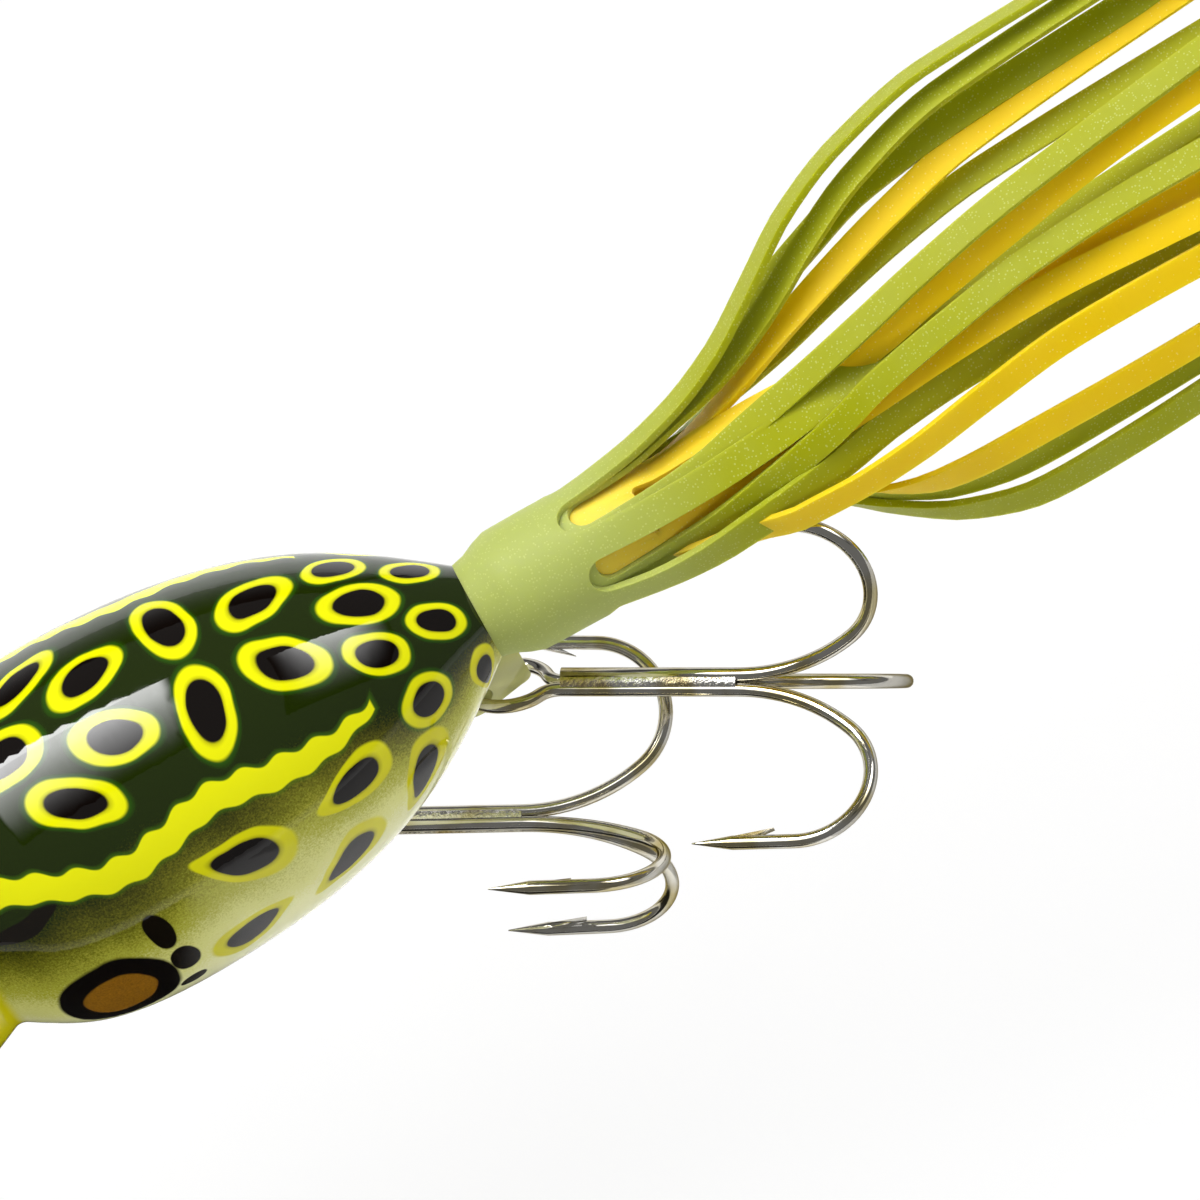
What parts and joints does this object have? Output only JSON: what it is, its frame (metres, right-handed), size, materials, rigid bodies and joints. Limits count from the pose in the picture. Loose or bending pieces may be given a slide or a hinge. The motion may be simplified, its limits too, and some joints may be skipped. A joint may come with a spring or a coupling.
{
  "type": "topwater popper lure",
  "caption": "Hollow floating fishing lure with a slanted cupped mouth, a line-tie eye, a skirt of rubber strands on the tail and treble hooks that swing from moulded lugs.",
  "frame": {"origin": "centre of the line-tie eye, on the body's axis inside the mouth", "axes": "+X forward out of the mouth, +Y to the lure's left, +Z to its back"},
  "size_m": [0.1329, 0.0445, 0.0537],
  "materials": {
    "body_plastic": "painted and clear coated",
    "yellow_rubber": "satin, opaque",
    "green_rubber": "satin, translucent with fine flecks",
    "tie_wire": "bright plated wire",
    "hook_wire": "bright nickel plated wire",
    "braze": "rough braze under thin plating"
  },
  "bodies": {
    "body": {"body_left": "body_plastic", "body_right": "body_plastic", "line_tie": "tie_wire", "skirt_inner": "yellow_rubber", "skirt_middle": "green_rubber", "skirt_outer": "green_rubber"},
    "rear_treble": {"rear_double_hook": "hook_wire", "rear_single_hook": "hook_wire", "rear_braze": "braze"},
    "belly_treble": {"belly_double_hook": "hook_wire", "belly_single_hook": "hook_wire", "belly_braze": "braze"}
  },
  "joints": [
    {"name": "rear_treble_swing", "type": "hinge", "parent": "body", "child": "rear_treble", "pos_m": [-0.0484, 0, -0.01091], "axis": [0, -1, 0], "range_deg": [0, 25]},
    {"name": "belly_treble_swing", "type": "hinge", "parent": "body", "child": "belly_treble", "pos_m": [-0.028, 0, -0.0156], "axis": [0, -1, 0], "range_deg": [0, 110]}
  ]
}
